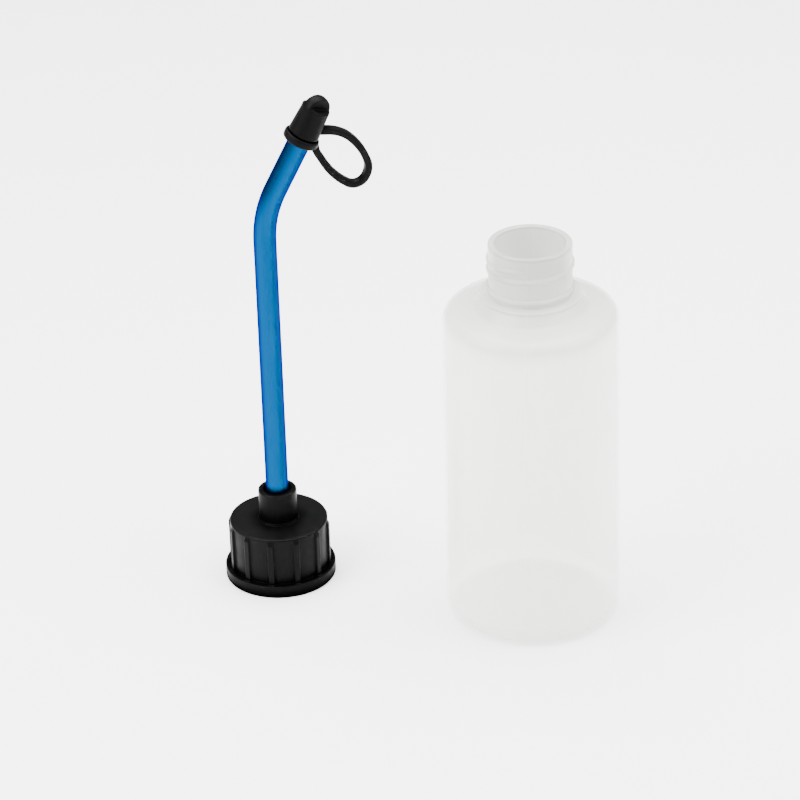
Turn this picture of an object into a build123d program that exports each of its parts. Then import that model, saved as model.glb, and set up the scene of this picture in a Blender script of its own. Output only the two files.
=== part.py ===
from build123d import *
from math import cos, radians, sin
import os

# Squeeze filler bottle for oil, with its screw cap and bent spout standing beside it.
# Millimetres, +Z up. The origin is the centre of the bottle's foot, and +X runs to the
# right of the bottle, away from the cap.

# ---------------------------------------------------------------- bottle
SHOULDER_R = 35.0            # outside, at the top of the body
FOOT_R = 35.8                # outside, at the foot: the body widens slightly downwards
BOTTLE_H = 165.5             # foot to rim
BODY_WALL = 1.0
NECK_WALL = 2.6
NECK_R = 16.7                # root of the neck's thread
NECK_FOOT_Z = 145.0          # where the straight inside of the neck starts
RIM_EDGE = 0.6               # chamfer on the rim and on the bead
BEAD_R = 17.5
BEAD_FOOT_Z = 146.2
BEAD_TOP_Z = 147.8           # top of the bead that the cap's skirt comes down over
GROOVE_R = 16.6              # bottom of the groove under the bead
STEP_R = 20.3                # wider ring below the groove
STEP_TOP_Z = 144.0
STEP_FOOT_Z = 142.8
DOME_OUT_Z = 136.4           # shoulder dome, at the body's wall
DOME_IN_Z = 138.9            # shoulder dome, where it turns up to the neck
DOME_IN_R = 23.1
DOME_EDGE_R = 2.2
DOME_INSET = 0.6             # how much nearer the axis the dome turns up inside
FOOT_EDGE_R = 4.0            # rounded edge round the foot
SHOULDER_EDGE_R = 5.2        # rounded edge round the shoulder
PUSH_UP = 3.0                # how far the middle of the foot is dished upwards
STANDING_R = 29.0            # inside edge of the ring that the bottle stands on
DISH_MID_R = 16.0            # a point half way up the dish
DISH_MID_Z = 2.2

# ---------------------------------------------------------------- thread, neck and cap
PITCH = 4.2
TURNS = 1.75
THREAD_DEPTH = 0.75
THREAD_ROOT_W = 2.3          # width of the ridge where it leaves the wall
THREAD_CREST_W = 1.0
THREAD_SINK = 0.25           # how far the ridge is buried in its wall
NECK_THREAD_Z = 152.6        # middle of the ridge where the neck's thread starts

# ---------------------------------------------------------------- screw cap
CAP_X = -106.3
CAP_Y = 27.4
CAP_H = 26.1
PLATE_T = 2.6
PLATE_EDGE_R = 0.7
BORE_R = 17.7                # inside wall between the threads
FLANGE_R = 23.1
FLANGE_H = 5.2
FLANGE_EDGE = 0.4
SKIRT_TOP_R = 20.45          # panels between the ribs, at the top
SKIRT_FOOT_R = 20.2          # panels between the ribs, at the flange
RIB_COUNT = 12
RIB_W = 2.5
RIB_R = 21.3                 # outside of the ribs
RIB_BEVEL = 1.5
RIB_SINK = 0.5               # how far the ribs are buried in the cap's top
RIB_ROOT = 1.0               # how far they are buried in the flange
FIRST_RIB_DEG = -96.5
COLLAR_BORE_R = 20.9         # wide mouth that drops over the bottle's bead and step
COLLAR_BORE_H = 4.6
COLLAR_CONE_H = 0.8
COLLAR_EDGE = 0.3
CAP_THREAD_Z = 9.0
BOSS_R = 8.0
BOSS_H = 13.8
BOSS_FOOT_R = 8.7            # low ring round the foot of the boss
BOSS_FOOT_H = 0.7
BOSS_FOOT_SLOPE = 0.3
BOSS_EDGE_R = 0.5
BOSS_MOUTH_EDGE = 1.1        # countersink where the tube leaves the boss

# ---------------------------------------------------------------- gasket and o-ring
GASKET_R = 17.2
GASKET_HOLE_R = 8.0
GASKET_T = 1.5
GASKET_EDGE_R = 0.3
FIT_GAP = 0.05               # gap where two pieces sit face to face and turn
O_RING_SECTION_R = 0.9
O_RING_POCKET_R = 6.75
O_RING_POCKET_H = 2.1

# ---------------------------------------------------------------- spout tube
TUBE_R = 4.7
TUBE_BORE_R = 3.7
FLARE_R = 6.6                # rolled lower end that stops the tube pulling out
FLARE_T = 1.2
FLARE_EDGE_R = 0.4
TIP_EDGE = 0.25
BEND_CORNER_Z = 166.0        # where the two straight runs would meet
BEND_DEG = 26.5
BEND_R = 50.0
TIP_RUN = 48.8               # from that corner to the open tip

# ---------------------------------------------------------------- tip cap and its strap
TIP_RING_START = 35.2        # along the tip's axis, from the corner of the bend
TIP_RING_T = 3.3
TIP_RING_R = 7.35
TIP_RING_EDGE_R = 0.7
TIP_CAP_GAP = 0.3
TIP_CAP_H = 17.6
TIP_CAP_FOOT_R = 6.4
TIP_CAP_TOP_R = 5.8
TIP_CAP_STRAIGHT = TIP_CAP_H - TIP_CAP_TOP_R   # conical stretch below the rounded top
TIP_BORE_DEPTH = 10.6
TAB_HALF_T = 2.2             # half the thickness of the pull tab
TAB_TAPER = 0.15             # how much thinner each side gets towards the top
TAB_LEDGE = 12.2             # height of the finger scoops' floor
TAB_LEDGE_RISE = 0.4         # how far the floor rises towards the tab
TAB_LEDGE_R = 1.5
TAB_OVERCUT = 1.0            # how far the scoops' cutters reach past the cap
TAB_TURN_DEG = 40.0          # how far the tab's face is turned from the front
STRAP_T = 3.0
STRAP_W = 3.4
STRAP_EDGE_R = 0.7
STRAP_TRIM = 8.0             # how far below the ring the strap is cut clear of the tube
STRAP_GAP = 0.2              # gap between the strap's end and the cap that it is moulded to
STRAP_TURN_DEG = 22.0        # how far the loop lies behind the bend's own plane
# The loop's corners: distance from the tip's axis, and height along it from the
# middle of the ring. The loop leaves the ring, turns back and reaches the cap.
STRAP_POINTS = [
    (6.0, -0.6),
    (8.6, -4.05),
    (20.6, -12.8),
    (33.9, -15.4),
    (34.3, -5.2),
    (26.0, 3.0),
    (14.6, 7.6),
    (5.0, 5.0),
]
STRAP_RADII = [8.0, 33.0, 5.0, 9.5, 32.0, 17.0]

os.makedirs("parts", exist_ok=True)


def along_tip(distance, sideways=0.0):
    """A point on the tip's axis, or beside it in the plane of the bend."""
    lean = radians(BEND_DEG)
    return (
        CAP_X + distance * sin(lean) + sideways * cos(lean),
        CAP_Y,
        BEND_CORNER_Z + distance * cos(lean) - sideways * sin(lean),
    )


def thread_profile(radius, outwards):
    """Corners of the ridge's section, drawn in a plane through the axis."""
    sign = 1 if outwards else -1
    root = radius - sign * THREAD_SINK
    crest = radius + sign * THREAD_DEPTH
    return [
        (root, -THREAD_ROOT_W / 2),
        (crest, -THREAD_CREST_W / 2),
        (crest, THREAD_CREST_W / 2),
        (root, THREAD_ROOT_W / 2),
    ]


def export(part, node):
    part.label = node
    export_step(part, f"parts/{node}.step")


# ---------------------------------------------------------------- bottle
with BuildPart() as bottle:
    with BuildSketch(Plane.XZ):
        with BuildLine():
            ThreePointArc((0, PUSH_UP), (DISH_MID_R, DISH_MID_Z), (STANDING_R, 0))
            Polyline(
                (STANDING_R, 0),
                (FOOT_R, 0),
                (SHOULDER_R, DOME_OUT_Z),
                (DOME_IN_R, DOME_IN_Z),
                (STEP_R, STEP_FOOT_Z),
                (STEP_R, STEP_TOP_Z),
                (GROOVE_R, STEP_TOP_Z),
                (GROOVE_R, BEAD_FOOT_Z - RIM_EDGE),
                (BEAD_R, BEAD_FOOT_Z),
                (BEAD_R, BEAD_TOP_Z - RIM_EDGE),
                (BEAD_R - RIM_EDGE, BEAD_TOP_Z),
                (NECK_R, BEAD_TOP_Z),
                (NECK_R, BOTTLE_H - RIM_EDGE),
                (NECK_R - RIM_EDGE, BOTTLE_H),
                (0, BOTTLE_H),
                (0, PUSH_UP),
            )
        make_face()
        edge = [v for v in vertices() if abs(v.X - FOOT_R) < 0.01]
        fillet(edge, FOOT_EDGE_R)
        edge = [v for v in vertices() if abs(v.X - SHOULDER_R) < 0.01]
        fillet(edge, SHOULDER_EDGE_R)
        edge = [v for v in vertices() if abs(v.X - DOME_IN_R) < 0.01]
        fillet(edge, DOME_EDGE_R)
    revolve(axis=Axis.Z)
    with BuildSketch(Plane.XZ):
        with BuildLine():
            ThreePointArc(
                (0, PUSH_UP + BODY_WALL),
                (DISH_MID_R, DISH_MID_Z + BODY_WALL),
                (STANDING_R, BODY_WALL),
            )
            Polyline(
                (STANDING_R, BODY_WALL),
                (FOOT_R - BODY_WALL, BODY_WALL),
                (SHOULDER_R - BODY_WALL, DOME_OUT_Z - BODY_WALL),
                (DOME_IN_R - DOME_INSET, DOME_IN_Z - BODY_WALL),
                (NECK_R - NECK_WALL, NECK_FOOT_Z),
                (NECK_R - NECK_WALL, BOTTLE_H - RIM_EDGE),
                (NECK_R - NECK_WALL + RIM_EDGE, BOTTLE_H),
                (0, BOTTLE_H),
                (0, PUSH_UP + BODY_WALL),
            )
        make_face()
        edge = [v for v in vertices() if abs(v.X - FOOT_R + BODY_WALL) < 0.01]
        fillet(edge, FOOT_EDGE_R - BODY_WALL)
        edge = [v for v in vertices() if abs(v.X - SHOULDER_R + BODY_WALL) < 0.01]
        fillet(edge, SHOULDER_EDGE_R - BODY_WALL)
        edge = [v for v in vertices() if abs(v.X - DOME_IN_R + DOME_INSET) < 0.01]
        fillet(edge, DOME_EDGE_R - BODY_WALL)
    revolve(axis=Axis.Z, mode=Mode.SUBTRACT)
    with BuildLine():
        ridge = Helix(PITCH, PITCH * TURNS, NECK_R, center=(0, 0, NECK_THREAD_Z))
    with BuildSketch(Plane.XZ):
        with Locations((0, NECK_THREAD_Z)):
            Polygon(*thread_profile(NECK_R, outwards=True), align=None)
    sweep(path=ridge, is_frenet=True)
export(bottle.part, "bottle")

# ---------------------------------------------------------------- screw cap
CAP = Plane((CAP_X, CAP_Y, 0))
CAP_SECTION = Plane((CAP_X, CAP_Y, 0), x_dir=(1, 0, 0), z_dir=(0, -1, 0))
PLATE_UNDER = CAP_H - PLATE_T
BOSS_TOP = CAP_H + BOSS_H

with BuildPart() as screw_cap:
    with BuildSketch(CAP_SECTION):
        with BuildLine():
            Polyline(
                (0, 0),
                (FLANGE_R - FLANGE_EDGE, 0),
                (FLANGE_R, FLANGE_EDGE),
                (FLANGE_R, FLANGE_H - FLANGE_EDGE),
                (FLANGE_R - FLANGE_EDGE, FLANGE_H),
                (SKIRT_FOOT_R, FLANGE_H),
                (SKIRT_TOP_R, CAP_H),
                (BOSS_FOOT_R, CAP_H),
                (BOSS_FOOT_R - BOSS_FOOT_SLOPE, CAP_H + BOSS_FOOT_H),
                (BOSS_R, CAP_H + BOSS_FOOT_H),
                (BOSS_R, BOSS_TOP),
                (0, BOSS_TOP),
                (0, 0),
            )
        make_face()
        edge = [v for v in vertices() if abs(v.X - CAP_X - SKIRT_TOP_R) < 0.01]
        fillet(edge, PLATE_EDGE_R)
        edge = [v for v in vertices() if abs(v.Z - BOSS_TOP) < 0.01 and v.X - CAP_X > 1]
        fillet(edge, BOSS_EDGE_R)
    revolve(axis=Axis((CAP_X, CAP_Y, 0), (0, 0, 1)))
    for turn in range(RIB_COUNT):
        rib_deg = FIRST_RIB_DEG + turn * 360 / RIB_COUNT
        rib_dir = (cos(radians(rib_deg)), sin(radians(rib_deg)), 0)
        rib_out = (rib_dir[1], -rib_dir[0], 0)
        with BuildSketch(Plane((CAP_X, CAP_Y, 0), x_dir=rib_dir, z_dir=rib_out)):
            Polygon(
                (BORE_R + RIB_ROOT, FLANGE_H - RIB_ROOT),
                (RIB_R, FLANGE_H - RIB_ROOT),
                (RIB_R, CAP_H - RIB_BEVEL - PLATE_EDGE_R),
                (SKIRT_TOP_R - RIB_SINK, CAP_H - RIB_SINK),
                (BORE_R + RIB_ROOT, CAP_H - RIB_SINK),
                align=None,
            )
        extrude(amount=-RIB_W / 2, both=True)
    with BuildSketch(CAP_SECTION):
        with BuildLine():
            Polyline(
                (0, 0),
                (COLLAR_BORE_R + COLLAR_EDGE, 0),
                (COLLAR_BORE_R, COLLAR_EDGE),
                (COLLAR_BORE_R, COLLAR_BORE_H - COLLAR_CONE_H),
                (BORE_R, COLLAR_BORE_H),
                (BORE_R, PLATE_UNDER),
                (O_RING_POCKET_R, PLATE_UNDER),
                (O_RING_POCKET_R, PLATE_UNDER + O_RING_POCKET_H),
                (TUBE_R + FIT_GAP, PLATE_UNDER + O_RING_POCKET_H),
                (TUBE_R + FIT_GAP, BOSS_TOP - BOSS_MOUTH_EDGE),
                (TUBE_R + BOSS_MOUTH_EDGE, BOSS_TOP),
                (0, BOSS_TOP),
                (0, 0),
            )
        make_face()
    revolve(axis=Axis((CAP_X, CAP_Y, 0), (0, 0, 1)), mode=Mode.SUBTRACT)
    with BuildLine():
        groove = Helix(PITCH, PITCH * TURNS, BORE_R, center=(CAP_X, CAP_Y, CAP_THREAD_Z))
    with BuildSketch(CAP_SECTION):
        with Locations((0, CAP_THREAD_Z)):
            Polygon(*thread_profile(BORE_R, outwards=False), align=None)
    sweep(path=groove, is_frenet=True)
export(screw_cap.part, "screw_cap")

# ---------------------------------------------------------------- gasket and o-ring
with BuildPart() as cap_gasket:
    with BuildSketch(CAP.offset(PLATE_UNDER - FIT_GAP - GASKET_T)):
        Circle(GASKET_R)
        Circle(GASKET_HOLE_R, mode=Mode.SUBTRACT)
    extrude(amount=GASKET_T)
    fillet(edges().filter_by(GeomType.CIRCLE), GASKET_EDGE_R)
export(cap_gasket.part, "cap_gasket")

FLARE_TOP = PLATE_UNDER - FIT_GAP
O_RING_Z = FLARE_TOP + FIT_GAP + O_RING_SECTION_R
O_RING_R = TUBE_R + FIT_GAP + O_RING_SECTION_R
with BuildPart() as spout_o_ring:
    with BuildSketch(CAP_SECTION):
        with Locations((O_RING_R, O_RING_Z)):
            Circle(O_RING_SECTION_R)
    revolve(axis=Axis((CAP_X, CAP_Y, 0), (0, 0, 1)))
export(spout_o_ring.part, "spout_o_ring")

# ---------------------------------------------------------------- spout tube
with BuildPart() as spout_tube:
    with BuildLine():
        route = FilletPolyline(
            (CAP_X, CAP_Y, FLARE_TOP - FLARE_T),
            (CAP_X, CAP_Y, BEND_CORNER_Z),
            along_tip(TIP_RUN),
            radius=BEND_R,
        )
    with BuildSketch(CAP.offset(FLARE_TOP - FLARE_T)):
        Circle(TUBE_R)
    sweep(path=route)
    with BuildSketch(CAP.offset(FLARE_TOP - FLARE_T)):
        Circle(FLARE_R)
    extrude(amount=FLARE_T)
    rim = edges().filter_by(GeomType.CIRCLE).filter_by(lambda e: abs(e.radius - FLARE_R) < 0.01)
    fillet(rim, FLARE_EDGE_R)
    with BuildSketch(CAP.offset(FLARE_TOP - FLARE_T)):
        Circle(TUBE_BORE_R)
    sweep(path=route, mode=Mode.SUBTRACT)
    tip_rim = edges().filter_by(GeomType.CIRCLE).sort_by(Axis.Z)[-2:]
    chamfer(tip_rim, TIP_EDGE)
export(spout_tube.part, "spout_tube")

# ---------------------------------------------------------------- tip ring, strap and cap
TIP_DIR = (sin(radians(BEND_DEG)), 0, cos(radians(BEND_DEG)))
TIP_SIDE = (cos(radians(BEND_DEG)), 0, -sin(radians(BEND_DEG)))
TIP_RING = Plane(along_tip(TIP_RING_START), x_dir=TIP_SIDE, z_dir=TIP_DIR)
TIP_CAP_START = TIP_RING_START + TIP_RING_T + TIP_CAP_GAP
TIP_CAP = Plane(along_tip(TIP_CAP_START), x_dir=TIP_SIDE, z_dir=TIP_DIR)
TIP_BORE_R = TUBE_R + FIT_GAP

with BuildPart() as strap_ring:
    with BuildSketch(TIP_RING):
        Circle(TIP_RING_R)
        Circle(TIP_BORE_R, mode=Mode.SUBTRACT)
    extrude(amount=TIP_RING_T)
    rims = edges().filter_by(GeomType.CIRCLE).filter_by(lambda e: abs(e.radius - TIP_RING_R) < 0.01)
    fillet(rims, TIP_RING_EDGE_R)
export(strap_ring.part, "strap_ring")

strap_dir = TIP_RING.from_local_coords(
    Vector(cos(radians(STRAP_TURN_DEG)), sin(radians(STRAP_TURN_DEG)), 0)
) - TIP_RING.origin
strap_side = strap_dir.cross(Vector(*TIP_DIR))
STRAP = Plane(along_tip(TIP_RING_START + TIP_RING_T / 2), x_dir=strap_dir, z_dir=strap_side)
with BuildPart() as tip_strap:
    with BuildLine(STRAP):
        loop = FilletPolyline(*STRAP_POINTS, radius=STRAP_RADII)
    with BuildSketch(Plane(loop @ 0, x_dir=strap_side, z_dir=loop % 0)):
        RectangleRounded(STRAP_W, STRAP_T, STRAP_EDGE_R)
    sweep(path=loop)
    with BuildSketch(TIP_RING.offset(-STRAP_TRIM)):
        Circle(TIP_RING_R)
    extrude(amount=STRAP_TRIM + TIP_RING_T, mode=Mode.SUBTRACT)
    with BuildSketch(TIP_CAP.offset(-STRAP_GAP)):
        Circle(TIP_CAP_FOOT_R + STRAP_GAP)
    extrude(amount=TIP_CAP_STRAIGHT, mode=Mode.SUBTRACT)
print("strap length", round(loop.length, 1))
export(tip_strap.part, "tip_strap")

with BuildPart() as tip_cap:
    with BuildSketch(Plane(TIP_CAP.origin, x_dir=TIP_SIDE, z_dir=(0, -1, 0))):
        with BuildLine():
            foot = Line((0, 0), (TIP_CAP_FOOT_R, 0))
            side = Line(foot @ 1, (TIP_CAP_TOP_R, TIP_CAP_STRAIGHT))
            dome = CenterArc((0, TIP_CAP_STRAIGHT), TIP_CAP_TOP_R, 0, 90)
            Line(dome @ 1, foot @ 0)
        make_face()
    revolve(axis=Axis(TIP_CAP.origin, TIP_DIR))
    tab_dir = Vector(sin(radians(TAB_TURN_DEG)), -cos(radians(TAB_TURN_DEG)), 0)
    tab_normal = TIP_CAP.from_local_coords(tab_dir) - TIP_CAP.origin
    tab_side = Vector(*TIP_DIR).cross(tab_normal)
    with BuildSketch(Plane(TIP_CAP.origin, x_dir=tab_normal, z_dir=-tab_side)):
        for face in (1, -1):
            with BuildLine():
                Polyline(
                    (face * TAB_HALF_T, TAB_LEDGE + TAB_LEDGE_RISE),
                    (face * (TAB_HALF_T - TAB_TAPER), TIP_CAP_H + TAB_OVERCUT),
                    (face * (TIP_CAP_FOOT_R + TAB_OVERCUT), TIP_CAP_H + TAB_OVERCUT),
                    (face * (TIP_CAP_FOOT_R + TAB_OVERCUT), TAB_LEDGE - TAB_LEDGE_RISE),
                    (face * TAB_HALF_T, TAB_LEDGE + TAB_LEDGE_RISE),
                )
            make_face()
        tab_foot = TAB_LEDGE + TAB_LEDGE_RISE
        floor = [v for v in vertices() if abs(TIP_CAP.to_local_coords(v).Z - tab_foot) < 0.01]
        fillet(floor, TAB_LEDGE_R)
    extrude(amount=TIP_CAP_FOOT_R + TAB_OVERCUT, both=True, mode=Mode.SUBTRACT)
    with BuildSketch(TIP_CAP):
        Circle(TIP_BORE_R)
    extrude(amount=TIP_BORE_DEPTH, mode=Mode.SUBTRACT)
export(tip_cap.part, "tip_cap")
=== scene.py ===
import math

import bpy
import numpy as np
from mathutils import Euler, Matrix, Vector


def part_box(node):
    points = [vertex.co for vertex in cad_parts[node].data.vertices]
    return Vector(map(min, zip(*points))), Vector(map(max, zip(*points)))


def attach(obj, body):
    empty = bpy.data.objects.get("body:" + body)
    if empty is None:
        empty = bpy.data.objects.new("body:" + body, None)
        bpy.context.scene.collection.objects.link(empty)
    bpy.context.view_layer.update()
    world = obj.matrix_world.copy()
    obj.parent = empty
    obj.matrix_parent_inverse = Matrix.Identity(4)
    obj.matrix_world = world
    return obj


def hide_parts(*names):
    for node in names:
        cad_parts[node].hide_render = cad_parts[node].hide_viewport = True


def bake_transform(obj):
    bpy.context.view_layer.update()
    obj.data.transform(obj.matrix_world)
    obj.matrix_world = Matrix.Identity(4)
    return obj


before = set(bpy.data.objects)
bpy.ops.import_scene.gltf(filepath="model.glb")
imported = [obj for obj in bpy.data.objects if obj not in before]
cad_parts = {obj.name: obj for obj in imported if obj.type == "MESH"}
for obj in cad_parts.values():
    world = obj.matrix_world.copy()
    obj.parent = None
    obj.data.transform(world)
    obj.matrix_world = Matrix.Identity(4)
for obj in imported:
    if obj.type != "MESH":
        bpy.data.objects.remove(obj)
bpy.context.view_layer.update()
MM = 0.001


# ------------------------------------------------------------------ places, from the frame
bottle_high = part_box("bottle")[1]
cap_low, cap_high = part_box("screw_cap")
CAP_X, CAP_Y, _ = (cap_low + cap_high) / 2


# ------------------------------------------------------------------ mesh helpers
def add_mesh(name, points, faces, material, smooth=True):
    """A mesh object from points in metres."""
    mesh = bpy.data.meshes.new(name)
    mesh.from_pydata([tuple(p) for p in points], [], faces)
    mesh.validate()
    if smooth:
        mesh.polygons.foreach_set("use_smooth", [True] * len(mesh.polygons))
    mesh.materials.append(material)
    piece = bpy.data.objects.new(name, mesh)
    bpy.context.scene.collection.objects.link(piece)
    return piece


def rounded(corners, step_deg=9.0):
    """A line through corners (r, z, radius), each corner rounded by an arc of its radius."""
    line = []
    last = len(corners) - 1
    for i, (x, z, radius) in enumerate(corners):
        here = np.array((x, z), float)
        if radius <= 0 or i in (0, last):
            line.append(here)
            continue
        back = np.array(corners[i - 1][:2], float) - here
        ahead = np.array(corners[i + 1][:2], float) - here
        back /= np.linalg.norm(back)
        ahead /= np.linalg.norm(ahead)
        half = math.acos(max(-1.0, min(1.0, float(back @ ahead)))) / 2
        start = here + back * radius / math.tan(half)
        centre = here + (back + ahead) / np.linalg.norm(back + ahead) * radius / math.sin(half)
        turn = math.pi - 2 * half
        first = math.atan2(*(start - centre)[::-1])
        sign = 1 if back[0] * ahead[1] - back[1] * ahead[0] < 0 else -1
        count = max(2, math.ceil(math.degrees(turn) / step_deg))
        for k in range(count + 1):
            angle = first + sign * turn * k / count
            line.append(centre + radius * np.array((math.cos(angle), math.sin(angle))))
    return line


def divided(line, longest):
    """The same line with its long runs cut into shorter ones."""
    out = [line[0]]
    for a, b in zip(line, line[1:]):
        count = max(1, math.ceil(np.linalg.norm(b - a) / longest))
        out += [a + (b - a) * k / count for k in range(1, count + 1)]
    return out


def lathe(name, line, angles, material, place, push=None, closed=False):
    """Turns a line of (r, z) in mm about an axis. push(angle, r, z) moves each point outwards."""
    points = []
    faces = []
    rows = len(line)
    turn = len(angles)
    for r, z in line:
        for angle in angles:
            out = r + (push(angle, r, z) if push and r > 1e-6 else 0.0)
            points.append(place @ (Vector((out * math.cos(angle), out * math.sin(angle), z)) * MM))
    pairs = list(zip(range(rows), list(range(1, rows)) + [0]))
    for i, j in pairs if closed else pairs[:-1]:
        for k in range(turn):
            n = (k + 1) % turn
            faces.append((i * turn + k, i * turn + n, j * turn + n, j * turn + k))
    return add_mesh(name, points, faces, material)


def even_angles(count):
    return [2 * math.pi * k / count for k in range(count)]


# ------------------------------------------------------------------ material helpers
def new_material(name, color, roughness, metallic=0.0):
    """A Principled material and the pieces needed to add detail to it."""
    material = bpy.data.materials.new(name)
    material.use_nodes = True
    nodes = material.node_tree.nodes
    links = material.node_tree.links
    shader = nodes["Principled BSDF"]
    shader.inputs["Base Color"].default_value = (*color, 1.0)
    shader.inputs["Roughness"].default_value = roughness
    shader.inputs["Metallic"].default_value = metallic
    return material, nodes, links, shader


def place_node(nodes, links, stretch=(1.0, 1.0, 1.0)):
    """Object coordinates in metres, stretched along an axis where a value is under 1."""
    coords = nodes.new("ShaderNodeTexCoord")
    mapping = nodes.new("ShaderNodeMapping")
    mapping.inputs["Scale"].default_value = stretch
    links.new(coords.outputs["Object"], mapping.inputs["Vector"])
    return mapping.outputs["Vector"]


def noise_node(nodes, links, place, per_metre, detail=3.0, rough=0.55):
    node = nodes.new("ShaderNodeTexNoise")
    node.inputs["Scale"].default_value = per_metre
    node.inputs["Detail"].default_value = detail
    node.inputs["Roughness"].default_value = rough
    links.new(place, node.inputs["Vector"])
    return node.outputs["Fac"]


def ramp_node(nodes, links, value, stops):
    """A colour ramp through stops (position, colour)."""
    node = nodes.new("ShaderNodeValToRGB")
    ramp = node.color_ramp
    while len(ramp.elements) < len(stops):
        ramp.elements.new(0.5)
    for element, (position, color) in zip(ramp.elements, stops):
        element.position = position
        element.color = (*color, 1.0)
    links.new(value, node.inputs["Fac"])
    return node.outputs["Color"]


def range_node(nodes, links, value, low, high, to_low, to_high):
    node = nodes.new("ShaderNodeMapRange")
    node.interpolation_type = "SMOOTHSTEP"
    for socket, number in zip(("From Min", "From Max", "To Min", "To Max"), (low, high, to_low, to_high)):
        node.inputs[socket].default_value = number
    links.new(value, node.inputs["Value"])
    return node.outputs["Result"]


def mix_node(nodes, links, share, first, second):
    """Mixes two colours by a share."""
    node = nodes.new("ShaderNodeMix")
    node.data_type = "RGBA"
    links.new(share, node.inputs["Factor"])
    for socket, color in ((node.inputs["A"], first), (node.inputs["B"], second)):
        if hasattr(color, "is_linked"):
            links.new(color, socket)
        else:
            socket.default_value = (*color, 1.0)
    return node.outputs["Result"]


def math_node(nodes, links, operation, first, second):
    node = nodes.new("ShaderNodeMath")
    node.operation = operation
    for socket, value in zip(node.inputs, (first, second)):
        if hasattr(value, "is_linked"):
            links.new(value, socket)
        else:
            socket.default_value = value
    return node.outputs["Value"]


def bump_node(nodes, links, shader, height, depth_mm, strength=1.0, after=None):
    node = nodes.new("ShaderNodeBump")
    node.inputs["Strength"].default_value = strength
    node.inputs["Distance"].default_value = depth_mm * MM
    links.new(height, node.inputs["Height"])
    if after:
        links.new(after, node.inputs["Normal"])
    links.new(node.outputs["Normal"], shader.inputs["Normal"])
    return node.outputs["Normal"]


# ------------------------------------------------------------------ materials
# The bottle's tones and densities. The shoulder and rim tones are painted shade on their upward faces,
# and the neck tone is the thick wall's greyer plastic darkened further by painted shade. Heights are in
# metres, and a density is a share of 1.
WALL_TONES = [(0.3, (0.95, 0.945, 0.90)), (0.7, (0.98, 0.975, 0.94))]
SHOULDER_PAINTED_SHADE = (0.52, 0.52, 0.50)
NECK_GREY_AND_PAINTED_SHADE = (0.46, 0.465, 0.43)
RIM_PAINTED_SHADE = (0.36, 0.365, 0.34)
SHOULDER_Z = (0.126, 0.139)
NECK_Z = (0.139, 0.150)
RIM_Z = (0.1638, 0.1652)
WALL_DENSITY = 0.32
NECK_DENSITY = 0.64
CLOUD_DENSITY = 0.08
FOOT_THINNER = 0.22          # how much less dense the foot is, fading out over FOOT_Z
FOOT_Z = (0.001, 0.010)


def bottle_plastic():
    """Milky natural polyethylene, greyer and denser in the thick neck, with soft flow marks, and painted
    shade darkening the shoulder, neck and rim.
    """
    material, nodes, links, shader = new_material("bottle_plastic", (0.93, 0.93, 0.915), 0.24)
    place = place_node(nodes, links)
    flow = noise_node(nodes, links, place_node(nodes, links, (1, 1, 0.15)), 90.0, 2.0)
    wall = ramp_node(nodes, links, flow, WALL_TONES)
    split = nodes.new("ShaderNodeSeparateXYZ")
    links.new(place, split.inputs["Vector"])
    height = split.outputs["Z"]
    color = wall
    # Painted shade: the shoulder, neck and rim tones darken the upper bottle by height.
    for zone, tone in ((SHOULDER_Z, SHOULDER_PAINTED_SHADE), (NECK_Z, NECK_GREY_AND_PAINTED_SHADE), (RIM_Z, RIM_PAINTED_SHADE)):
        share = range_node(nodes, links, height, *zone, 0.0, 1.0)
        color = mix_node(nodes, links, share, color, tone)
    links.new(color, shader.inputs["Base Color"])
    cloud = noise_node(nodes, links, place, 45.0, 2.0)
    dense = range_node(nodes, links, height, SHOULDER_Z[0], NECK_Z[1], WALL_DENSITY, NECK_DENSITY)
    foot = range_node(nodes, links, height, *FOOT_Z, FOOT_THINNER, 0.0)
    dense = math_node(nodes, links, "SUBTRACT", dense, foot)
    uneven = math_node(nodes, links, "MULTIPLY", cloud, CLOUD_DENSITY)
    links.new(math_node(nodes, links, "ADD", dense, uneven), shader.inputs["Alpha"])
    fine = noise_node(nodes, links, place, 1500.0, 2.0)
    links.new(range_node(nodes, links, fine, 0.3, 0.7, 0.17, 0.27), shader.inputs["Roughness"])
    wave = bump_node(nodes, links, shader, flow, 0.35, 0.5)
    bump_node(nodes, links, shader, fine, 0.015, 0.4, wave)
    return material


BLACK_SPECULAR = 0.045
HOLLOW_SHADE_SPECULAR = 0.0        # the same in tight recesses, where little light gets in; there the colour is darkened too, as painted shade
HOLLOW_SHADE_MM = 8.0
# Shares of a black's tone: its duller and brighter clouds, and its worn edges.
DULL = (0.8, 0.8, 0.85)
BRIGHT = (1.25, 1.25, 1.3)
WORN = (2.6, 2.6, 2.7)
GLOSS_SPREAD = 0.06


def toned(tone, shares):
    return tuple(tone * share for share in shares)


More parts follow.
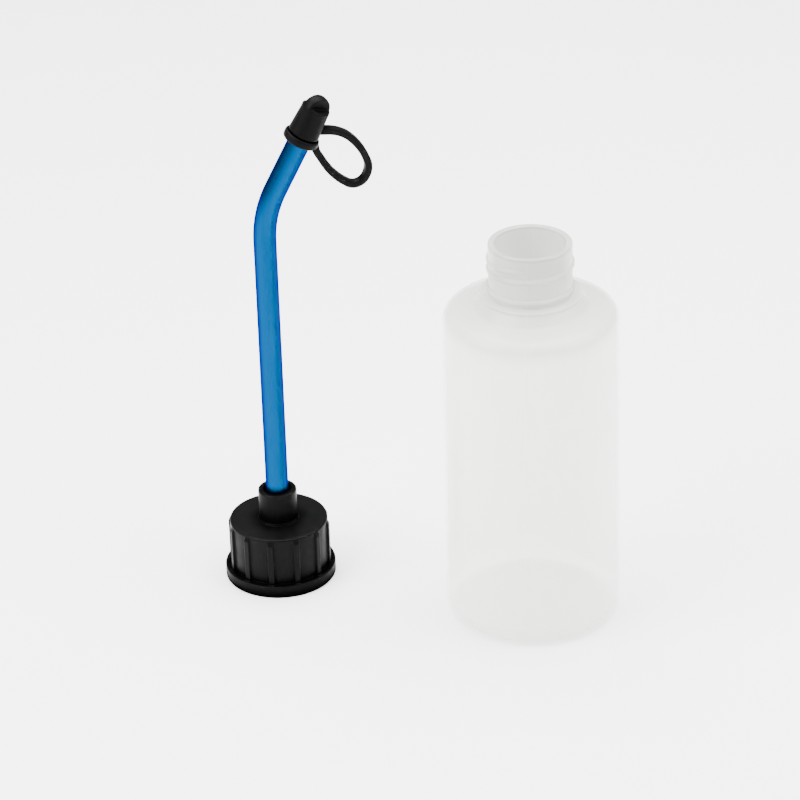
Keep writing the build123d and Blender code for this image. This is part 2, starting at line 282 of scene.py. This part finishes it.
def moulded_black(name, tone, roughness, grain_mm, grain_per_metre):
    """Black moulded plastic or rubber: fine grain, cloudy gloss, paler worn edges, and painted shade that
    darkens the colour and gloss in recesses.
    """
    material, nodes, links, shader = new_material(name, (tone, tone, tone * 1.06), roughness)
    place = place_node(nodes, links)
    cloud = noise_node(nodes, links, place, 160.0, 3.0)
    grain = noise_node(nodes, links, place, grain_per_metre, 3.0)
    base = ramp_node(nodes, links, cloud, [(0.3, toned(tone, DULL)), (0.7, toned(tone, BRIGHT))])
    geometry = nodes.new("ShaderNodeNewGeometry")
    worn = range_node(nodes, links, geometry.outputs["Pointiness"], 0.52, 0.6, 0.0, 0.5)
    color = mix_node(nodes, links, worn, base, toned(tone, WORN))
    # Painted shade: ambient occlusion darkens the colour in recesses and in creases between parts, and
    # dims the gloss there.
    painted_hollow_shade = nodes.new("ShaderNodeAmbientOcclusion")
    painted_hollow_shade.inputs["Distance"].default_value = HOLLOW_SHADE_MM * MM
    links.new(color, painted_hollow_shade.inputs["Color"])
    links.new(painted_hollow_shade.outputs["Color"], shader.inputs["Base Color"])
    open_share = painted_hollow_shade.outputs["AO"]
    specular = range_node(nodes, links, open_share, 0.55, 1.0, HOLLOW_SHADE_SPECULAR, BLACK_SPECULAR)
    links.new(specular, shader.inputs["Specular IOR Level"])
    smoothest, roughest = roughness - GLOSS_SPREAD, roughness + GLOSS_SPREAD
    gloss = range_node(nodes, links, cloud, 0.3, 0.7, smoothest, roughest)
    links.new(gloss, shader.inputs["Roughness"])
    bump_node(nodes, links, shader, grain, grain_mm, 0.6)
    return material


BLUE_BASE = (0.0, 0.038, 0.115)
BLUE_TONES = [(0.3, (0.0, 0.037, 0.112)), (0.7, (0.0, 0.040, 0.120))]
BLUE_LINE = (0.0, 0.052, 0.15)
BLUE_EDGE = (0.0, 0.2, 0.5, 1.0)
BLUE_ROUGHNESS = (0.27, 0.33)


def blue_anodised():
    """Satin blue anodised aluminium with faint drawing lines along the tube."""
    material, nodes, links, shader = new_material("blue_anodised", BLUE_BASE, 0.3, 1.0)
    drawn = noise_node(nodes, links, place_node(nodes, links, (1, 1, 0.02)), 2500.0, 2.0)
    cloud = noise_node(nodes, links, place_node(nodes, links, (1, 1, 0.3)), 120.0, 2.0)
    base = ramp_node(nodes, links, cloud, BLUE_TONES)
    lines = range_node(nodes, links, drawn, 0.35, 0.65, 0.0, 0.06)
    links.new(mix_node(nodes, links, lines, base, BLUE_LINE), shader.inputs["Base Color"])
    links.new(range_node(nodes, links, drawn, 0.3, 0.7, *BLUE_ROUGHNESS), shader.inputs["Roughness"])
    shader.inputs["Specular Tint"].default_value = BLUE_EDGE
    bump_node(nodes, links, shader, drawn, 0.0015, 0.4)
    return material


def bench_white():
    """Plain white bench top."""
    material, nodes, links, shader = new_material("bench_white", (0.92, 0.92, 0.92), 0.6)
    place = place_node(nodes, links)
    cloud = noise_node(nodes, links, place, 6.0, 2.0)
    color = ramp_node(nodes, links, cloud, [(0.3, (0.915, 0.915, 0.915)), (0.7, (0.925, 0.925, 0.925))])
    links.new(color, shader.inputs["Base Color"])
    return material


PLASTIC = bottle_plastic()
CAP_BLACK = moulded_black("cap_black", 0.0012, 0.42, 0.02, 2600.0)
RUBBER_BLACK = moulded_black("rubber_black", 0.0009, 0.5, 0.03, 1800.0)
SEAL_BLACK = moulded_black("seal_black", 0.002, 0.5, 0.01, 2200.0)
BLUE = blue_anodised()


# ------------------------------------------------------------------ threads
PITCH = 4.2
TURNS = 1.75
RIDGE_ROOT = 1.15            # half widths of the thread's ridge, mm
RIDGE_CREST = 0.5
FADE = 0.06                  # share of a turn in which the ridge starts and ends


def smooth(t):
    t = min(1.0, max(0.0, t))
    return t * t * (3 - 2 * t)


def ridge(angle, z, start_z):
    """How much of the thread's full depth is at this place, 0 to 1."""
    best = 0.0
    for whole in range(math.ceil(TURNS)):
        turn = angle / (2 * math.pi) + whole
        if not 0 <= turn <= TURNS:
            continue
        away = abs(z - start_z - PITCH * turn)
        height = smooth((RIDGE_ROOT - away) / (RIDGE_ROOT - RIDGE_CREST))
        ends = smooth(turn / FADE) * smooth((TURNS - turn) / FADE)
        best = max(best, height * ends)
    return best


# ------------------------------------------------------------------ bottle
BOTTLE_TOP = bottle_high.z / MM
FOOT_R = bottle_high.x / MM + 0.02
SHOULDER_R = 35.0
BODY_TOP_Z = 136.4
DOME_TOP_R = 23.1
DOME_TOP_Z = 138.9
DOME_IN_R = 22.5
DOME_IN_Z = 137.9
WALL = 1.0
STEP_R = 20.3
STEP_LOW_Z = 142.8
STEP_TOP_Z = 144.0
GROOVE_R = 16.6
GROOVE_TOP_Z = 145.6
BEAD_R = 17.5
BEAD_LOW_Z = 146.2
BEAD_TOP_Z = 147.8
NECK_R = 16.7
NECK_FOOT_Z = 145.0
MOUTH_R = 14.1
NECK_THREAD_Z = 152.6
THREAD_DEPTH = 0.75
PUSH_UP = 3.0
STANDING_R = 29.0
SEAM_DEG = -94.0
SEAM_PROUD = 0.16
SEAM_HALF_W = 0.5
THREAD_STEP = 0.35           # longest step of the outline on the threaded neck
WALL_STEP = 4.0              # and elsewhere


def dish(radius, lift, count=10):
    """The foot's dished middle, from its centre outwards."""
    return [(radius * k / count, lift + PUSH_UP * (1 - (k / count) ** 2)) for k in range(count)]


def bottle_push(angle, r, z):
    """Thread on the neck's outside, and the mould seam down both sides."""
    out = 0.0
    if r > NECK_R - 0.3 and r < NECK_R + 0.3 and NECK_THREAD_Z - 2 < z < BOTTLE_TOP - 2:
        out += THREAD_DEPTH * ridge(angle, z, NECK_THREAD_Z)
    outside = r > SHOULDER_R - 0.1 or (z > BODY_TOP_Z - 0.4 and r > NECK_R - 0.2)
    if outside and z > 2:
        seam = math.radians(SEAM_DEG)
        away = abs((angle - seam + math.pi / 2) % math.pi - math.pi / 2) * r
        out += SEAM_PROUD * smooth(1 - away / SEAM_HALF_W)
    return out


def seam_angles(count):
    """Even angles, with extra ones beside the two mould seams."""
    angles = even_angles(count)
    for side in (0, math.pi):
        seam = (math.radians(SEAM_DEG) + side) % (2 * math.pi)
        angles += [(seam + k * 0.004) % (2 * math.pi) for k in range(-6, 7)]
    return sorted(angles)


def make_bottle():
    outside = rounded(
        [(p[0], p[1], 0) for p in dish(STANDING_R, 0.0)]
        + [
            (STANDING_R, 0.0, 1.2),
            (FOOT_R, 0.0, 4.0),
            (SHOULDER_R, BODY_TOP_Z, 5.2),
            (DOME_TOP_R, DOME_TOP_Z, 1.8),
            (STEP_R, STEP_LOW_Z, 0.5),
            (STEP_R, STEP_TOP_Z, 0.4),
            (GROOVE_R, STEP_TOP_Z, 0.4),
            (GROOVE_R, GROOVE_TOP_Z, 0.3),
            (BEAD_R, BEAD_LOW_Z, 0.4),
            (BEAD_R, BEAD_TOP_Z, 0.6),
            (NECK_R, BEAD_TOP_Z, 0.15),
            (NECK_R, BOTTLE_TOP, 0.7),
            (MOUTH_R, BOTTLE_TOP, 0.6),
            (MOUTH_R, NECK_FOOT_Z, 2.0),
            (DOME_IN_R, DOME_IN_Z, 1.2),
            (SHOULDER_R - WALL, BODY_TOP_Z - WALL, 4.2),
            (FOOT_R - WALL, WALL, 3.0),
            (STANDING_R, WALL, 2.0),
        ]
        + [(p[0], p[1], 0) for p in reversed(dish(STANDING_R, WALL))]
    )
    line = []
    for a, b in zip(outside, outside[1:]):
        neck = a[0] > MOUTH_R + 1 and min(a[1], b[1]) > BEAD_LOW_Z + 0.8
        line += divided([a, b], THREAD_STEP if neck else WALL_STEP)[:-1]
    line.append(outside[-1])
    piece = lathe("bottle_shell", line, seam_angles(180), PLASTIC, Matrix.Identity(4), bottle_push)
    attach(piece, "bottle")
    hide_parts("bottle")


make_bottle()

# ------------------------------------------------------------------ screw cap
CAP_H = 26.1
CAP_TOP = cap_high.z / MM
FLANGE_R = (cap_high.x - cap_low.x) / 2 / MM
FLANGE_H = 5.2
SKIRT_FOOT_R = 20.2
SKIRT_TOP_R = 20.45
RIBS = 12
RIB_HALF_W = 1.3
RIB_EDGE = 0.6               # width of a rib's rounded side
RIB_R = 21.3
FIRST_RIB_DEG = -96.5
RIB_ANGLES_DEG = (1.2, 2.0, 2.4, 2.75, 3.1, 3.45, 3.8, 4.2, 5.0, 7.0, 9.5, 12.0)
BORE_R = 17.7
COLLAR_R = 20.9
COLLAR_CONE_Z = (3.8, 4.6)
BOSS_R = 8.0
BOSS_FOOT_R = 8.7
BOSS_FOOT_H = 0.7
BOSS_BORE_R = 4.75
POCKET_R = 6.75
POCKET_H = 2.1
PLATE_UNDER = 23.5
CAP_THREAD_Z = 9.0
cap_place = Matrix.Translation((CAP_X, CAP_Y, 0))


def rib_distance(angle, r):
    """Distance in mm round the skirt from the nearest rib's middle."""
    pitch = 2 * math.pi / RIBS
    away = (angle - math.radians(FIRST_RIB_DEG) + pitch / 2) % pitch - pitch / 2
    return abs(away) * r


def cap_push(angle, r, z):
    """Ribs on the skirt's outside, and the thread inside."""
    if abs(r - BORE_R) < 0.1:
        return -THREAD_DEPTH * ridge(angle, z, CAP_THREAD_Z) if z < PLATE_UNDER - 1 else 0.0
    if BORE_R < r < RIB_R and FLANGE_H - 0.1 < z < CAP_H + 0.1:
        across = smooth((RIB_HALF_W - rib_distance(angle, r)) / RIB_EDGE + 0.5)
        bevel = smooth((CAP_H - 0.6 - z) / 2.0)
        return (RIB_R - r) * across * bevel
    return 0.0


def rib_angles():
    """Angles gathered at the ribs' sides."""
    out = []
    for rib in range(RIBS):
        middle_deg = FIRST_RIB_DEG + rib * 360 / RIBS
        out.append(middle_deg)
        for away in RIB_ANGLES_DEG:
            out += [middle_deg + away, middle_deg - away]
        out.append(middle_deg + 180 / RIBS)
    return sorted(math.radians(a) % (2 * math.pi) for a in out)


def make_cap():
    outline = rounded(
        [
            (COLLAR_R, 0.0, 0.3),
            (FLANGE_R, 0.0, 0.5),
            (FLANGE_R, FLANGE_H, 0.45),
            (SKIRT_FOOT_R, FLANGE_H, 0.4),
            (SKIRT_TOP_R, CAP_H, 0.7),
            (BOSS_FOOT_R, CAP_H, 0.3),
            (BOSS_FOOT_R - 0.3, CAP_H + BOSS_FOOT_H, 0.2),
            (BOSS_R, CAP_H + BOSS_FOOT_H, 0.15),
            (BOSS_R, CAP_TOP, 0.7),
            (BOSS_BORE_R + 1.0, CAP_TOP, 0.3),
            (BOSS_BORE_R, CAP_TOP - 1.2, 0.3),
            (BOSS_BORE_R, PLATE_UNDER + POCKET_H, 0.15),
            (POCKET_R, PLATE_UNDER + POCKET_H, 0.2),
            (POCKET_R, PLATE_UNDER, 0.2),
            (BORE_R, PLATE_UNDER, 0.4),
            (BORE_R, COLLAR_CONE_Z[1], 0.3),
            (COLLAR_R, COLLAR_CONE_Z[0], 0.4),
            (COLLAR_R, 0.0, 0.0),
        ],
        step_deg=18.0,
    )
    outline[0] = outline[-1]
    line = []
    for a, b in zip(outline, outline[1:]):
        walls = min(a[0], b[0]) > BORE_R - 0.1 and max(a[0], b[0]) < FLANGE_R - 0.5
        line += divided([a, b], 0.6 if walls else 2.5)[:-1]
    piece = lathe("cap_shell", line, rib_angles(), CAP_BLACK, cap_place, cap_push, closed=True)
    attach(piece, "cap")
    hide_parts("screw_cap")


make_cap()


# ------------------------------------------------------------------ spout tube
TUBE_R = 4.7
TUBE_BORE_R = 3.7
FLARE_R = 6.6
FLARE_T = 1.2
FLARE_TOP = PLATE_UNDER - 0.05
BEND_CORNER_Z = 166.0
BEND_DEG = 26.5
BEND_R = 50.0
TIP_RUN = 48.8
RISE_STEPS = 24
BEND_STEPS = 32
RUN_STEPS = 6
TUBE_SIDES = 72
lean = math.radians(BEND_DEG)
tip_dir = Vector((math.sin(lean), 0, math.cos(lean)))
tip_side = Vector((math.cos(lean), 0, -math.sin(lean)))


def tube_route(start_z):
    """Points (position in mm from the cap's axis, lean) up the tube from a height."""
    tangent = BEND_R * math.tan(lean / 2)
    rise = BEND_CORNER_Z - tangent - start_z
    out = [(0.0, start_z + rise * k / RISE_STEPS, 0.0) for k in range(RISE_STEPS + 1)]
    for k in range(1, BEND_STEPS + 1):
        a = lean * k / BEND_STEPS
        x = BEND_R * (1 - math.cos(a))
        z = BEND_CORNER_Z - tangent + BEND_R * math.sin(a)
        out.append((x, z, a))
    for k in range(1, RUN_STEPS + 1):
        run = tangent + (TIP_RUN - tangent) * k / RUN_STEPS
        out.append((run * math.sin(lean), BEND_CORNER_Z + run * math.cos(lean), lean))
    return out


def make_tube():
    route = tube_route(FLARE_TOP)
    top = route[-1]
    low = [
        (TUBE_BORE_R, -FLARE_T + 0.2), (TUBE_BORE_R + 0.2, -FLARE_T), (FLARE_R - 0.4, -FLARE_T),
        (FLARE_R - 0.1, -FLARE_T + 0.15), (FLARE_R, -FLARE_T / 2), (FLARE_R - 0.1, -0.15),
        (FLARE_R - 0.4, 0.0), (TUBE_R + 0.2, 0.0), (TUBE_R, 0.2),
    ]
    rings = [(0.0, FLARE_TOP + rise, 0.0, r) for r, rise in low]
    rings += [(x, z, a, TUBE_R) for x, z, a in route[1:-1]]
    for r, back in ((TUBE_R, 0.25), (TUBE_R - 0.08, 0.08), (TUBE_R - 0.25, 0.0),
                    (TUBE_BORE_R + 0.25, 0.0), (TUBE_BORE_R + 0.08, 0.08), (TUBE_BORE_R, 0.25)):
        rings.append((top[0] - back * math.sin(lean), top[1] - back * math.cos(lean), lean, r))
    rings += [(x, z, a, TUBE_BORE_R) for x, z, a in reversed(route[1:-1])]
    turn = TUBE_SIDES
    points = []
    faces = []
    for x, z, a, r in rings:
        side = Vector((math.cos(a), 0, -math.sin(a)))
        for angle in even_angles(turn):
            out = math.cos(angle) * side + math.sin(angle) * Vector((0, 1, 0))
            spot = Vector((x, 0, z)) + r * out
            points.append(cap_place @ (spot * MM))
    for i in range(len(rings)):
        j = (i + 1) % len(rings)
        for k in range(turn):
            n = (k + 1) % turn
            faces.append((i * turn + k, i * turn + n, j * turn + n, j * turn + k))
    piece = add_mesh("spout_pipe", points, faces, BLUE)
    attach(piece, "spout")
    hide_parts("spout_tube")


make_tube()


# ------------------------------------------------------------------ tip ring and tip cap
RING_START = 35.2
RING_T = 3.3
RING_R = 7.35
TIP_BORE_R = 4.75
TIP_CAP_GAP = 0.3
TIP_CAP_START = RING_START + RING_T + TIP_CAP_GAP
TIP_CAP_H = 17.6
TIP_FOOT_R = 6.4
TIP_TOP_R = 5.8
TIP_BORE_DEPTH = 10.6
TIP_STRAIGHT = TIP_CAP_H - TIP_TOP_R
TAB_HALF_T = 2.2
TAB_LEDGE = 12.2
TAB_TURN_DEG = 40.0
SCOOP_START = 2.0            # how far below the ledge the scoops may begin
SCOOP_RISE = 1.0             # height over which a scoop's floor curves in
SCOOP_CLEAR = 7.4            # half thickness that leaves the outside uncut
SCOOP_EDGE = 0.35
TIP_ROWS = 46
TIP_SIDES = 128


def along_tip(distance):
    """A place in metres on the tip's axis, from the corner of the bend."""
    return Vector((CAP_X, CAP_Y, BEND_CORNER_Z * MM)) + tip_dir * distance * MM


def tip_place(distance):
    """A frame on the tip's axis: x to the right and down, y to the back, z outwards."""
    frame_axes = Matrix((tip_side, Vector((0, 1, 0)), tip_dir)).transposed().to_4x4()
    return Matrix.Translation(along_tip(distance)) @ frame_axes


def make_tip_ring():
    outline = rounded(
        [
            (TIP_BORE_R, RING_T / 2, 0.0),
            (TIP_BORE_R, 0.0, 0.3),
            (RING_R, 0.0, 0.9),
            (RING_R, RING_T, 0.9),
            (TIP_BORE_R, RING_T, 0.3),
            (TIP_BORE_R, RING_T / 2, 0.0),
        ]
    )[:-1]
    piece = lathe("tip_ring", outline, even_angles(96), RUBBER_BLACK, tip_place(RING_START), closed=True)
    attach(piece, "tip_tether")
    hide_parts("strap_ring")


def tab_distance(z):
    """Half the thickness between the finger scoops at a height."""
    floor = smooth((z - TAB_LEDGE + 0.3) / SCOOP_RISE)
    return SCOOP_CLEAR + (TAB_HALF_T - SCOOP_CLEAR) * floor ** 0.6


def scooped(angle, r, z):
    """Cuts the two finger scoops, with rounded edges, into the tip cap's round outside."""
    bore = r < TIP_BORE_R + 0.05 and z < TIP_CAP_H - 4
    if bore or z < TAB_LEDGE - SCOOP_START:
        return 0.0
    facing = abs(math.cos(angle - math.radians(TAB_TURN_DEG - 90)))
    limit = tab_distance(z) / max(facing, 1e-3)
    share = max(0.0, SCOOP_EDGE - abs(r - limit)) / SCOOP_EDGE
    return min(r, limit) - share * share * SCOOP_EDGE / 4 - r


def make_tip_cap():
    foot_edge = 0.5
    outline = [
        (TIP_BORE_R, 0.35),
        (TIP_BORE_R + 0.3, 0.0),
        (TIP_FOOT_R - 0.45, 0.0),
        (TIP_FOOT_R - 0.1, 0.15),
        (TIP_FOOT_R, foot_edge),
    ]
    rise = TAB_LEDGE - SCOOP_START
    for k in range(1, 11):
        r = TIP_FOOT_R + (TIP_TOP_R - TIP_FOOT_R) * k / 10
        outline.append((r, foot_edge + (rise - foot_edge) * k / 10))
    for k in range(1, TIP_ROWS + 1):
        z = rise + (TIP_CAP_H - rise) * math.sin(math.pi / 2 * k / TIP_ROWS)
        over = max(0.0, z - TIP_STRAIGHT)
        outline.append((math.sqrt(max(0.0, TIP_TOP_R ** 2 - over ** 2)), z))
    outline += [
        (0.0, TIP_BORE_DEPTH),
        (TIP_BORE_R - 0.4, TIP_BORE_DEPTH),
        (TIP_BORE_R, TIP_BORE_DEPTH - 0.4),
    ]
    place = tip_place(TIP_CAP_START)
    piece = lathe(
        "tip_plug_cap", outline, even_angles(TIP_SIDES), RUBBER_BLACK, place, scooped, closed=True,
    )
    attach(piece, "tip_plug")
    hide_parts("tip_cap")


make_tip_ring()
make_tip_cap()


# ------------------------------------------------------------------ strap
STRAP_T = 3.0
STRAP_W = 3.4
STRAP_EDGE_R = 0.6
STRAP_ROOT_WIDER = 0.15      # share by which the strap widens at each root
STRAP_ROOT_RUN = 0.12        # share of the strap's length over which it does
STRAP_TURN_DEG = 22.0
# Corners of the loop: distance from the tip's axis, height from the ring's middle, and radius.
STRAP_CORNERS = [
    (6.0, -0.6, 0.0),
    (8.6, -4.05, 8.0),
    (20.6, -12.8, 33.0),
    (33.9, -15.4, 5.0),
    (34.3, -5.2, 9.5),
    (26.0, 3.0, 32.0),
    (14.6, 7.6, 17.0),
    (5.6, 5.2, 0.0),
]


def make_strap():
    line = [Vector(p) for p in divided(rounded(STRAP_CORNERS, 5.0), 0.8)]
    turn = math.radians(STRAP_TURN_DEG)
    out_dir = tip_side * math.cos(turn) + Vector((0, 1, 0)) * math.sin(turn)
    wide_dir = out_dir.cross(tip_dir)
    root = along_tip(RING_START + RING_T / 2)
    points = []
    faces = []
    section = []
    for cx, cy, first in ((1, 1, 0), (-1, 1, 90), (-1, -1, 180), (1, -1, 270)):
        for k in range(5):
            a = math.radians(first + 90 * k / 4)
            section.append((
                cx * (STRAP_T / 2 - STRAP_EDGE_R) + STRAP_EDGE_R * math.cos(a),
                cy * (STRAP_W / 2 - STRAP_EDGE_R) + STRAP_EDGE_R * math.sin(a),
            ))
    count = len(section)
    for i, spot in enumerate(line):
        ahead = line[min(i + 1, len(line) - 1)] - line[max(i - 1, 0)]
        ahead.normalize()
        normal = Vector((-ahead.y, ahead.x))
        along = i / (len(line) - 1)
        root_share = smooth(1 - min(along, 1 - along) / STRAP_ROOT_RUN)
        tab = 1 + STRAP_ROOT_WIDER * root_share
        for thick, wide in section:
            flat = spot + normal * thick
            points.append(root + (out_dir * flat.x + tip_dir * flat.y + wide_dir * wide * tab) * MM)
    for i in range(len(line) - 1):
        for k in range(count):
            n = (k + 1) % count
            faces.append((i * count + k, i * count + n, (i + 1) * count + n, (i + 1) * count + k))
    faces.append(tuple(reversed(range(count))))
    faces.append(tuple(range((len(line) - 1) * count, len(line) * count)))
    piece = add_mesh("strap_loop", points, faces, RUBBER_BLACK)
    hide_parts("tip_strap")
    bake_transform(piece)


make_strap()


# ------------------------------------------------------------------ seals, kept from the CAD
for node in ("cap_gasket", "spout_o_ring"):
    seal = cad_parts[node]
    seal.data.materials.clear()
    seal.data.materials.append(SEAL_BLACK)


# ------------------------------------------------------------------ bench, lights and camera
BENCH_HALF = 3.0
BENCH_Z = -0.02 * MM         # a hair under the feet, so that no two faces coincide
WORLD_STRENGTH = 0.45
# Name, place in metres, width, height and power in watts of each light.
SOFTBOXES = (
    ("softbox_left", (-0.9, -0.5, 0.9), 0.9, 0.9, 42.0),
    ("softbox_right", (0.9, -0.2, 0.8), 0.8, 0.9, 24.0),
    ("softbox_top", (0.0, 0.3, 1.6), 2.0, 1.6, 150.0),
)
AIM_Z = 0.09


def make_bench():
    corners = [(x * BENCH_HALF, y * BENCH_HALF, BENCH_Z) for x, y in ((-1, -1), (1, -1), (1, 1), (-1, 1))]
    bench = add_mesh("bench", corners, [(0, 1, 2, 3)], bench_white(), smooth=False)


def add_softbox(name, spot, target, width, height, watts):
    light = bpy.data.lights.new(name, "AREA")
    light.shape = "RECTANGLE"
    light.size = width
    light.size_y = height
    light.energy = watts
    holder = bpy.data.objects.new(name, light)
    holder.location = spot
    holder.rotation_euler = (Vector(target) - Vector(spot)).to_track_quat("-Z", "Y").to_euler()
    bpy.context.scene.collection.objects.link(holder)


def make_lights():
    world = bpy.data.worlds.new("studio")
    bpy.context.scene.world = world
    world.use_nodes = True
    background = world.node_tree.nodes["Background"]
    background.inputs["Color"].default_value = (1.0, 1.0, 1.0, 1.0)
    background.inputs["Strength"].default_value = WORLD_STRENGTH
    for name, spot, width, height, watts in SOFTBOXES:
        add_softbox(name, spot, (CAP_X / 2, 0, AIM_Z), width, height, watts)


CAMERA_SPOT = Vector((0.00275, -1.23751, 0.76601))
CAMERA_DOWN_DEG = 28.42
CAMERA_LEFT_DEG = 2.57
CAMERA_ROLL_DEG = -1.74
CAMERA_LENS_MM = 157.9


def make_camera():
    camera = bpy.data.cameras.new("camera")
    camera.lens = CAMERA_LENS_MM
    camera.sensor_width = 36.0
    camera.clip_end = 20.0
    holder = bpy.data.objects.new("camera", camera)
    aim = Euler((math.radians(90 - CAMERA_DOWN_DEG), 0, math.radians(CAMERA_LEFT_DEG))).to_matrix()
    turn = aim @ Matrix.Rotation(math.radians(CAMERA_ROLL_DEG), 3, "Z")
    holder.matrix_world = Matrix.Translation(CAMERA_SPOT) @ turn.to_4x4()
    bpy.context.scene.collection.objects.link(holder)
    bpy.context.scene.camera = holder


make_bench()
make_lights()
make_camera()

bpy.context.view_layer.update()
